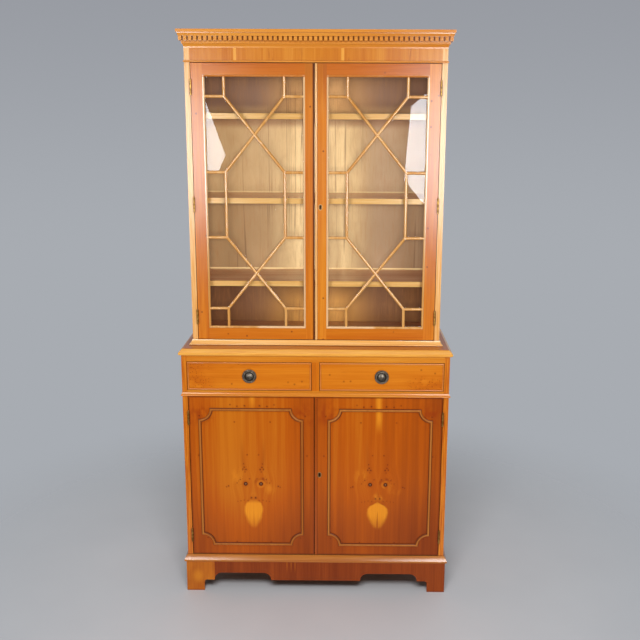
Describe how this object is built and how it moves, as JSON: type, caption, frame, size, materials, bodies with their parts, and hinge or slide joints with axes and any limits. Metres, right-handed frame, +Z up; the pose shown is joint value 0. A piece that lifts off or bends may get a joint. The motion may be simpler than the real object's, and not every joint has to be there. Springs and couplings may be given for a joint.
{
  "type": "cabinet bookcase",
  "caption": "Glazed bookcase with astragal doors and a dentil cornice, standing on a base with drawers over panelled cupboard doors and a bracket-foot plinth.",
  "frame": {"origin": "on the floor, under the middle of the bounding box", "axes": "+Z up, the front with its doors faces -Y, +X to the right seen from the front"},
  "size_m": [0.942, 0.375, 1.946],
  "materials": {
    "yew_veneer": "satin lacquered yew veneer",
    "yew_moulding": "satin lacquered solid yew",
    "plinth_veneer": "satin lacquered dark yew veneer",
    "interior_wood": "matt lacquered veneer",
    "drawer_lining": "sealed pale hardwood",
    "clear_glass": "clear float glass",
    "brass": "polished, lightly tarnished",
    "dark_bronze": "antique dark bronze"
  },
  "bodies": {
    "carcass": {"frieze_rail": "yew_veneer", "upper_left_side": "yew_veneer", "upper_right_side": "yew_veneer", "base_left_side": "yew_veneer", "base_right_side": "yew_veneer", "base_top": "yew_veneer", "cornice_mouldings": "yew_moulding", "dentil_strips": "yew_moulding", "surbase_moulding": "yew_moulding", "waist_moulding": "yew_moulding", "plinth_moulding": "yew_moulding", "drawer_top_rail": "yew_moulding", "drawer_divider": "yew_moulding", "dust_board": "yew_moulding", "plinth_front": "plinth_veneer", "plinth_ends_and_back": "plinth_veneer", "upper_top_board": "interior_wood", "upper_bottom_board": "interior_wood", "upper_back_panel": "interior_wood", "top_shelf": "interior_wood", "middle_shelf": "interior_wood", "bottom_shelf": "interior_wood", "base_bottom_board": "interior_wood", "base_back_panel": "interior_wood", "cupboard_shelf": "interior_wood", "plinth_corner_blocks": "interior_wood", "carcass_hinge_leaves": "brass", "shelf_pegs": "brass"},
    "left_glazed_door": {"left_glazed_stiles": "yew_veneer", "left_glazed_rails": "yew_veneer", "left_glazed_pane": "clear_glass", "left_glazed_astragals": "yew_moulding", "left_glazed_hinge_leaves": "brass"},
    "left_cupboard_door": {"left_cupboard_panel": "yew_veneer", "left_cupboard_moulding": "yew_moulding", "left_cupboard_hinge_leaves": "brass"},
    "left_drawer": {"left_drawer_front": "yew_veneer", "left_drawer_cock_bead": "yew_moulding", "left_drawer_box": "drawer_lining", "left_pull_plate": "dark_bronze"},
    "left_ring": {"left_pull_ring": "dark_bronze"},
    "right_glazed_door": {"right_glazed_stiles": "yew_veneer", "right_glazed_rails": "yew_veneer", "right_glazed_pane": "clear_glass", "right_glazed_astragals": "yew_moulding", "right_glazed_hinge_leaves": "brass", "right_glazed_closing_bead": "yew_moulding", "glazed_lock": "brass"},
    "right_cupboard_door": {"right_cupboard_panel": "yew_veneer", "right_cupboard_moulding": "yew_moulding", "right_cupboard_hinge_leaves": "brass", "right_cupboard_closing_bead": "yew_moulding", "cupboard_lock": "brass"},
    "right_drawer": {"right_drawer_front": "yew_veneer", "right_drawer_cock_bead": "yew_moulding", "right_drawer_box": "drawer_lining", "right_pull_plate": "dark_bronze"},
    "right_ring": {"right_pull_ring": "dark_bronze"},
    "glazed_bolt": {"glazed_lock_bolt": "brass"},
    "cupboard_bolt": {"cupboard_lock_bolt": "brass"}
  },
  "joints": [
    {"name": "left_glazed_door_hinge", "type": "hinge", "parent": "carcass", "child": "left_glazed_door", "pos_m": [-0.408, -0.1158, 1.383], "axis": [0, 0, -1], "range_deg": [0, 170]},
    {"name": "right_glazed_door_hinge", "type": "hinge", "parent": "carcass", "child": "right_glazed_door", "pos_m": [0.408, -0.1158, 1.383], "axis": [0, 0, 1], "range_deg": [0, 170]},
    {"name": "left_cupboard_door_hinge", "type": "hinge", "parent": "carcass", "child": "left_cupboard_door", "pos_m": [-0.44, -0.1788, 0.438], "axis": [0, 0, -1], "range_deg": [0, 170]},
    {"name": "right_cupboard_door_hinge", "type": "hinge", "parent": "carcass", "child": "right_cupboard_door", "pos_m": [0.44, -0.1788, 0.438], "axis": [0, 0, 1], "range_deg": [0, 170]},
    {"name": "left_drawer_slide", "type": "slide", "parent": "carcass", "child": "left_drawer", "axis": [0, -1, 0], "range_m": [0, 0.26]},
    {"name": "left_ring_hinge", "type": "hinge", "parent": "left_drawer", "child": "left_ring", "pos_m": [-0.227, -0.18, 0.82455], "axis": [-1, 0, 0], "range_deg": [0, 95]},
    {"name": "right_drawer_slide", "type": "slide", "parent": "carcass", "child": "right_drawer", "axis": [0, -1, 0], "range_m": [0, 0.26]},
    {"name": "right_ring_hinge", "type": "hinge", "parent": "right_drawer", "child": "right_ring", "pos_m": [0.227, -0.18, 0.82455], "axis": [-1, 0, 0], "range_deg": [0, 95]},
    {"name": "glazed_bolt_slide", "type": "slide", "parent": "right_glazed_door", "child": "glazed_bolt", "axis": [-1, 0, 0], "range_m": [0, 0.009]},
    {"name": "cupboard_bolt_slide", "type": "slide", "parent": "right_cupboard_door", "child": "cupboard_bolt", "axis": [-1, 0, 0], "range_m": [0, 0.009]}
  ]
}
